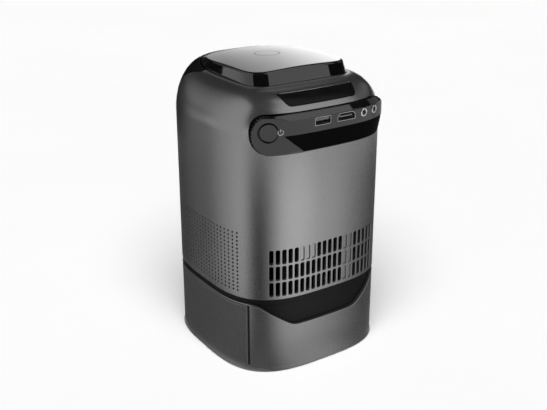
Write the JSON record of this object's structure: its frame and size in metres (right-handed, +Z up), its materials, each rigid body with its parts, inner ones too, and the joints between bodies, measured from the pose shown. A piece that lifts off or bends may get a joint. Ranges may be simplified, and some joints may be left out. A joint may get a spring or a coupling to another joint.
{
  "type": "tower video projector",
  "caption": "Upright portable video projector in a square-round housing with vent slots and perforated sides, a lens at the front, a speaker base, and sockets and a power button behind.",
  "frame": {"origin": "centre of the bounding box on the surface that the feet stand on", "axes": "+Z up; -Y the way the lens looks; +Y the socket side; +X the side of the power button"},
  "size_m": [0.1294, 0.1304, 0.2122],
  "materials": {
    "shell_silver": "satin metallic dark silver paint on moulded plastic",
    "trim_black": "satin black moulded plastic",
    "cap_black": "gloss black moulded plastic",
    "button_black": "gloss black moulded plastic",
    "panel_black": "gloss black moulded plastic",
    "front_black": "gloss black moulded plastic",
    "window_black": "smoked gloss black receiver window",
    "barrel_black": "matt black glass-filled plastic",
    "lens_glass": "coated optical glass",
    "gear_white": "natural acetal",
    "gear_brass": "machined brass",
    "motor_steel": "drawn steel can",
    "engine_black": "matt black engine housing",
    "circuit_board": "green solder mask on glass-epoxy board",
    "led_copper": "metal-core lamp board",
    "sink_aluminium": "extruded natural aluminium",
    "fan_black": "black glass-filled plastic",
    "chassis_plate": "folded aluminium sheet",
    "port_steel": "stamped tinned steel shell",
    "jack_chrome": "bright plated ring on a plastic body",
    "switch_grey": "moulded switch body",
    "speaker_steel": "pressed steel basket and paper cone",
    "grille_mesh": "perforated steel with dark grey paint",
    "battery_wrap": "cells in shrink wrap",
    "foot_rubber": "matt black rubber",
    "insert_brass": "turned brass insert",
    "screw_steel": "zinc-plated steel"
  },
  "bodies": {
    "housing": {"upper_shell": "shell_silver", "base_shell": "shell_silver", "mid_frame": "trim_black", "top_cover": "cap_black", "touch_board": "circuit_board", "front_panel": "front_black", "lens_bezel": "trim_black", "lens_mount": "barrel_black", "focus_motor": "motor_steel", "light_engine": "engine_black", "imaging_board": "circuit_board", "led_module": "led_copper", "heat_sink": "sink_aluminium", "fan_frame": "fan_black", "chassis": "chassis_plate", "main_board": "circuit_board", "io_board": "circuit_board", "usb_port": "port_steel", "hdmi_port": "port_steel", "audio_jack": "jack_chrome", "dc_inlet": "jack_chrome", "port_panel": "panel_black", "power_switch": "switch_grey", "shoulder_window": "window_black", "speaker_left": "speaker_steel", "speaker_right": "speaker_steel", "speaker_grille_left": "grille_mesh", "speaker_grille_right": "grille_mesh", "battery_pack": "battery_wrap", "bottom_plate": "trim_black", "rubber_feet": "foot_rubber", "tripod_insert": "insert_brass", "bottom_screws": "screw_steel", "frame_screws": "screw_steel"},
    "top_button": {"top_button": "button_black"},
    "power_button": {"power_button": "panel_black"},
    "fan": {"fan_impeller": "fan_black"},
    "lens": {"lens_barrel": "barrel_black", "front_lens": "lens_glass", "rear_lens": "lens_glass"},
    "focus_ring": {"focus_ring": "gear_white"},
    "focus_pinion": {"focus_pinion": "gear_brass"}
  },
  "joints": [
    {"name": "top_button_press", "type": "slide", "parent": "housing", "child": "top_button", "axis": [0, 0, -1], "range_m": [0, 0.0006], "stiffness_N_per_m": 2000},
    {"name": "power_button_press", "type": "slide", "parent": "housing", "child": "power_button", "axis": [-0.4748, -0.8801, 0], "range_m": [0, 0.0008], "stiffness_N_per_m": 2000},
    {"name": "fan_spin", "type": "hinge", "parent": "housing", "child": "fan", "pos_m": [0, 0.044, 0.0855], "axis": [0, 1, 0], "continuous": true},
    {"name": "focus_ring_turn", "type": "hinge", "parent": "housing", "child": "focus_ring", "pos_m": [0, -0.041, 0.154], "axis": [0, -1, 0], "range_deg": [0, 120]},
    {"name": "lens_slide", "type": "slide", "parent": "housing", "child": "lens", "axis": [0, -1, 0], "range_m": [0, 0.0025]},
    {"name": "pinion_spin", "type": "hinge", "parent": "housing", "child": "focus_pinion", "pos_m": [0.02892, -0.041, 0.154], "axis": [0, -1, 0], "range_deg": [-600, 0]}
  ],
  "couplings": [
    {"joint": "focus_ring_turn", "follows": "lens_slide", "rad_per_m": 837.76},
    {"joint": "pinion_spin", "follows": "lens_slide", "rad_per_m": -4188.8}
  ]
}
